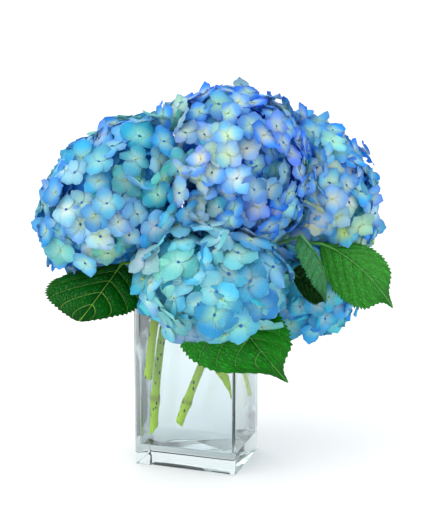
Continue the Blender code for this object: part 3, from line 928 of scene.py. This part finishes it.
def leaf_paint(name, green, vein, show):
    """Leaf finish. UV u counts the side veins from the base, v is the share of the way to the
    margin: pale lines at whole u and along the midrib, small quilted panels between them with
    painted light on their raised middles and painted shade in their grooves, a waxy surface. The
    veins attribute holds how much the side veins show, the quilting that places the painted
    groove shade, and centimetres from the midrib."""
    leaf = Paint(name)
    marks = leaf.node("VertexColor", layer_name="veins").outputs["Color"]
    showing, groove_shade_mask, from_rib = leaf.node("SeparateColor", marks).outputs[:3]
    uv, count, outward = leaf.surface()
    from_vein = leaf.calc("FRACT", leaf.calc("ADD", count, 0.5))
    from_vein = leaf.calc("ABSOLUTE", leaf.calc("SUBTRACT", from_vein, 0.5))
    from_vein = leaf.calc("ADD", from_vein, leaf.calc("MULTIPLY", outward, VEIN_THINNING))
    side = leaf.calc("MULTIPLY", leaf.ramp(from_vein, 0.016, 0.05, show, 0.0), showing)
    lines = leaf.calc("MAXIMUM", side, leaf.ramp(from_rib, 0.02, 0.065, 0.85, 0.0))
    stretched = leaf.node("VectorMath", uv, PANELS_PER_VEIN, operation="MULTIPLY").outputs[0]
    panels = leaf.node("TexVoronoi", Vector=stretched, Scale=1.0, Randomness=0.85,
                       feature="DISTANCE_TO_EDGE")
    raised = leaf.ramp(panels.outputs["Distance"], 0.0, 0.22, 0.0, 1.0)
    cloud = leaf.noise(45.0, 3.0, Roughness=0.6)
    # painted light and shade: raised panels lighter and grooves darker, as lit and shaded copies of
    # the green, mixed with random cloudy tone
    panel_light_and_tone = leaf.calc("MULTIPLY", raised, leaf.calc("ADD", cloud, 0.35))
    colour = leaf.blend(panel_light_and_tone, (*(linear(green) * 0.66), 1), (*(linear(green) * 1.38).clip(0, 1), 1))
    # painted shade in the grooves between the quilted panels
    colour = leaf.blend(leaf.ramp(groove_shade_mask, 0.0, 0.55, 1.0, 0.0), colour, GROOVE_SHADE, "MULTIPLY")
    colour = leaf.blend(lines, colour, (*linear(vein), 1))
    relief = leaf.node("Bump", Strength=0.7, Distance=0.0009, Height=raised)
    waxy = leaf.node("BsdfPrincipled", Base_Color=colour, Roughness=0.36,
                     Specular_IOR_Level=0.22, Normal=relief.outputs[0])
    leaf.show_thin(waxy, 0.12, colour)
    return leaf.material


for key, own in LEAVES.items():
    spec = {**USUAL_LEAF, **own}
    at = {part: np.array(spec[part], float) * MM
          for part in ("start", "base", "middle", "tip", "one", "other")}
    # t runs up the midrib, a quadratic curve, and v across the blade, -1 to 1
    bend = 2 * at["middle"] - 0.5 * (at["base"] + at["tip"])
    t = np.linspace(0, 1, BLADE_ROWS)[:, None]
    v = np.linspace(-1, 1, BLADE_COLUMNS)[None, :]
    v = np.sign(v) * np.abs(v) ** 1.5
    midrib = (1 - t) ** 2 * at["base"] + 2 * t * (1 - t) * bend + t ** 2 * at["tip"]
    # the outline: a skewed sine, drawn in before the tip, less the notch behind each tooth
    taper = np.clip((t - 0.68) / 0.26, 0, 1)
    width = np.sin(math.pi * t ** 0.8).clip(0) ** 0.75
    width = width * (1 - spec["draw"] * taper ** 2 * (3 - 2 * taper))
    tooth = (t * TEETH) % 1.0
    notch = (tooth - 1) * TOOTH_DEPTH * np.clip(width * 4, 0, 1) * np.abs(v) ** 12
    toward_margin = np.where((v < 0)[..., None], at["one"] - at["middle"],
                             at["other"] - at["middle"])
    half = np.linalg.norm(toward_margin, axis=-1, keepdims=True)
    spread = np.abs(v)[..., None] * width[..., None] + notch[..., None] / half
    run = unit(np.gradient(midrib, axis=0))
    across = unit(at["other"] - at["one"])
    normal = unit(np.cross(run, np.broadcast_to(across, run.shape)))
    normal = normal * (1 if normal[:, 2].mean() >= 0 else -1)
    # the relief: panels raised between the side veins, a sunken midrib and a slow wave
    lag = np.abs(v) * (0.22 + 0.12 * np.abs(v))
    phase = (t - lag) * spec["pairs"] + 0.35
    from_rib = np.abs(v) * width * half[..., 0]
    rib = np.exp(-(from_rib / (0.9 * MM)) ** 2)
    quilt = np.abs(np.sin(math.pi * phase)) ** 0.7
    quilt = quilt * np.minimum(1, np.abs(v) * 5) * np.minimum(1, width)
    lift = (QUILT_HEIGHT * (quilt - 0.5) - RIB_DEPTH * rib
            + WAVE_HEIGHT * np.sin(7 * t + 2.5 * v) * np.abs(v)) * np.minimum(1, width * 2)
    blade = midrib[:, None] + toward_margin * spread + normal[:, None] * lift[..., None]
    points = blade.reshape(-1, 3)
    faces = grid_faces(BLADE_ROWS, BLADE_COLUMNS, False)
    one_face = points[faces[len(faces) // 2]]
    facing = np.cross(one_face[1] - one_face[0], one_face[2] - one_face[0])
    if facing @ normal[BLADE_ROWS // 2] < 0:
        faces = faces[:, ::-1]
    steps = np.linspace(0, 1, STALK_JOINTS)[:, None]
    stalk = at["start"] + (at["base"] - at["start"]) * steps
    under_rib = slice(6, 31, 6)
    stalk = np.concatenate([stalk, midrib[under_rib] - normal[under_rib] * 0.5 * MM])
    stalk_radii = np.concatenate([np.full(STALK_JOINTS, LEAF_STALK),
                                  np.linspace(LEAF_STALK * 0.8, 0.35 * MM, 5)])
    stalk_points, stalk_faces = capped_tube(stalk, stalk_radii, 10, len(points))
    leaf = mesh_object("leaf_blade_" + key, np.concatenate([points, stalk_points]),
                       faces.tolist() + stalk_faces,
                       leaf_paint("leaf_" + key, spec["green"], spec["vein"], spec["show"]))
    shown = np.clip(1 - np.abs(v) ** 8, 0, 1) * (phase > -0.3)
    marks = np.stack([shown, quilt, from_rib / (10 * MM)], axis=-1).reshape(-1, 3)
    marks = np.concatenate([marks, np.tile([0.0, 0.5, 0.04], (len(stalk_points), 1))])
    set_colours(leaf, "veins", marks)
    surface = np.stack(np.broadcast_arrays(phase, np.abs(v)), axis=-1).reshape(-1, 2)
    set_uv(leaf, np.concatenate([surface, np.full((len(stalk_points), 2), 0.5)]))
    sheet = leaf.modifiers.new("thickness", "SOLIDIFY")
    sheet.thickness = BLADE_THICKNESS
    sheet.offset = 0.0
    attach(leaf, "root")
    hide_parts("leaf_" + key)
